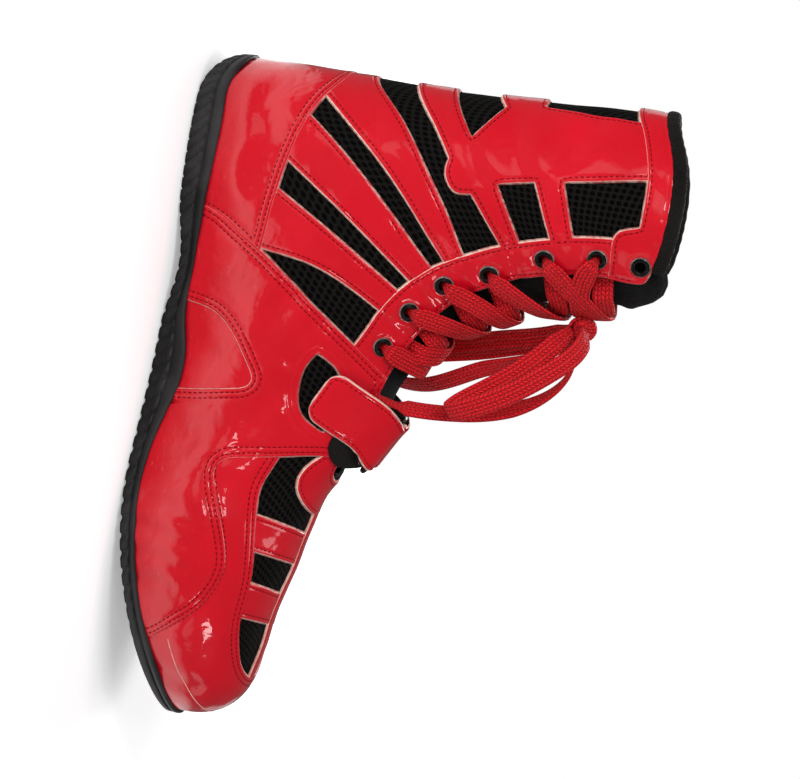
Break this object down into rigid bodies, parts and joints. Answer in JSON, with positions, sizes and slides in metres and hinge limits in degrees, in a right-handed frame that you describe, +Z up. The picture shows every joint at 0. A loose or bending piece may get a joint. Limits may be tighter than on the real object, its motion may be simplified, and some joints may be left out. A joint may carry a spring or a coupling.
{
  "type": "boxing shoe",
  "caption": "High laced left boxing shoe: black mesh boot with red patent panels, thin rubber cup sole, instep strap and padded collar.",
  "frame": {"origin": "middle of the shoe's base on the floor, without the free lace", "axes": "+X from heel to toe, +Y to the outer side of the foot, +Z up"},
  "size_m": [0.2934, 0.1006, 0.2101],
  "materials": {
    "patent_red": "high gloss patent",
    "mesh_black": "matte mesh",
    "rubber_black": "matte",
    "binding_black": "matte",
    "insole_black": "matte",
    "metal_black": "satin",
    "lace_red": "woven"
  },
  "bodies": {
    "root": {"ankle_panel": "patent_red", "arch_patch_inner": "patent_red", "arch_patch_outer": "patent_red", "collar_band": "patent_red", "collar_binding": "binding_black", "eyelet_inner_1": "metal_black", "eyelet_inner_2": "metal_black", "eyelet_inner_3": "metal_black", "eyelet_inner_4": "metal_black", "eyelet_inner_5": "metal_black", "eyelet_inner_6": "metal_black", "eyelet_inner_7": "metal_black", "eyelet_outer_1": "metal_black", "eyelet_outer_2": "metal_black", "eyelet_outer_3": "metal_black", "eyelet_outer_4": "metal_black", "eyelet_outer_5": "metal_black", "eyelet_outer_6": "metal_black", "eyelet_outer_7": "metal_black", "eyestay_inner": "patent_red", "eyestay_outer": "patent_red", "heel_counter": "patent_red", "insole": "insole_black", "lace_crossings": "lace_red", "lace_end_inner": "lace_red", "lace_end_outer": "lace_red", "lace_knot": "lace_red", "lace_loop_inner": "lace_red", "lace_loop_outer": "lace_red", "outsole": "rubber_black", "quarter_bar_back": "patent_red", "quarter_bar_front_inner": "patent_red", "quarter_bar_front_outer": "patent_red", "quarter_bar_middle_inner": "patent_red", "quarter_bar_middle_outer": "patent_red", "side_panel_inner": "patent_red", "side_panel_outer": "patent_red", "strap": "patent_red", "strap_keeper": "patent_red", "strap_ring": "metal_black", "toe_cap": "patent_red", "toe_ladder": "patent_red", "tongue": "binding_black", "upper": "mesh_black", "vamp_oval": "patent_red"}
  },
  "joints": []
}
